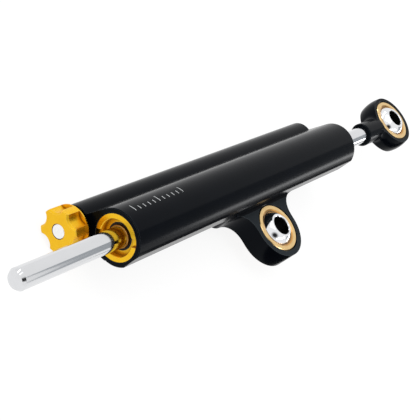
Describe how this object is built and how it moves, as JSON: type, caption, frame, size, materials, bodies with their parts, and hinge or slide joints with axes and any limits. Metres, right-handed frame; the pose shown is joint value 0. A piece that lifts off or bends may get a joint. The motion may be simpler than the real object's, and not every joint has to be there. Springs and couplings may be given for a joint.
{
  "type": "steering damper",
  "caption": "Through-rod linear steering damper: machined twin-tube body with a side lug, star adjuster knob, chrome rod and ball-bearing eyes.",
  "frame": {"origin": "centre of the ball in the body's lug, on its bolt axis", "axes": "+X along the rod towards the rod's eye, +Z along the bolt axes of both ball bearings, the damping tube on the +Y side of the lug"},
  "size_m": [0.347, 0.07, 0.0415],
  "materials": {
    "black_anodised": "satin black hard anodised aluminium, machined",
    "gold_anodised": "bright gold anodised aluminium",
    "bronze_anodised": "brown-gold anodised aluminium",
    "chrome_rod": "hard chrome, ground and polished",
    "polished_ball": "polished chromed steel",
    "race_brass": "turned, pale gold",
    "woven_liner": "bonded low-friction cloth",
    "screw_steel": "polished stainless steel",
    "spring_steel": "blued spring steel",
    "bronze_bush": "sintered bronze with slide layer",
    "seal_rubber": "matt nitrile rubber",
    "slide_band": "filled low-friction plastic"
  },
  "bodies": {
    "body": {"damper_body": "black_anodised", "front_end_cap": "gold_anodised", "front_seal_head": "bronze_anodised", "front_rod_bush": "bronze_bush", "front_rod_seal": "seal_rubber", "front_wiper": "seal_rubber", "front_scraper": "bronze_bush", "rear_scraper": "bronze_bush", "front_head_o_ring": "seal_rubber", "rear_end_cap": "gold_anodised", "rear_seal_head": "bronze_anodised", "rear_rod_bush": "bronze_bush", "rear_rod_seal": "seal_rubber", "rear_wiper": "seal_rubber", "rear_head_o_ring": "seal_rubber", "body_eye_race": "race_brass", "adjuster_cartridge": "black_anodised", "cartridge_o_rings": "seal_rubber", "detent_ball": "screw_steel", "detent_spring": "spring_steel", "reservoir_plug": "black_anodised", "plug_o_ring": "seal_rubber"},
    "slide_band": {"piston_band": "slide_band"},
    "rod": {"damper_rod": "chrome_rod", "piston": "gold_anodised", "piston_o_ring": "seal_rubber", "piston_circlips": "spring_steel", "rod_eye_housing": "black_anodised", "rod_eye_race": "race_brass"},
    "rod_eye_liner": {"rod_eye_liner": "woven_liner"},
    "rod_eye_ball": {"rod_eye_ball": "polished_ball"},
    "body_eye_liner": {"body_eye_liner": "woven_liner"},
    "body_eye_ball": {"body_eye_ball": "polished_ball"},
    "knob": {"adjuster_knob": "gold_anodised", "knob_screw": "screw_steel", "adjuster_shaft": "screw_steel", "metering_valve": "screw_steel"},
    "compensator": {"compensating_piston": "gold_anodised", "compensating_o_ring": "seal_rubber"}
  },
  "joints": [
    {"name": "rod_slide", "type": "slide", "parent": "body", "child": "slide_band", "axis": [1, 0, 0], "range_m": [-0.033, 0.057]},
    {"name": "rod_spin", "type": "hinge", "parent": "slide_band", "child": "rod", "pos_m": [0, 0.02715, 0.0117], "axis": [1, 0, 0], "continuous": true},
    {"name": "body_eye_turn", "type": "hinge", "parent": "body", "child": "body_eye_liner", "pos_m": [0, 0, 0], "axis": [0, 0, 1], "continuous": true},
    {"name": "body_eye_tilt", "type": "hinge", "parent": "body_eye_liner", "child": "body_eye_ball", "pos_m": [0, 0, 0], "axis": [1, 0, 0], "range_deg": [-12, 12]},
    {"name": "rod_eye_turn", "type": "hinge", "parent": "rod", "child": "rod_eye_liner", "pos_m": [0.1504, 0.02715, 0.0117], "axis": [0, 0, 1], "continuous": true},
    {"name": "rod_eye_tilt", "type": "hinge", "parent": "rod_eye_liner", "child": "rod_eye_ball", "pos_m": [0.1504, 0.02715, 0.0117], "axis": [1, 0, 0], "range_deg": [-12, 12]},
    {"name": "knob_turn", "type": "hinge", "parent": "body", "child": "knob", "pos_m": [-0.1175, 0.04292, -0.00552], "axis": [1, 0, 0], "range_deg": [-180, 180]},
    {"name": "compensator_slide", "type": "slide", "parent": "body", "child": "compensator", "axis": [1, 0, 0], "range_m": [-0.005, 0.005]}
  ]
}
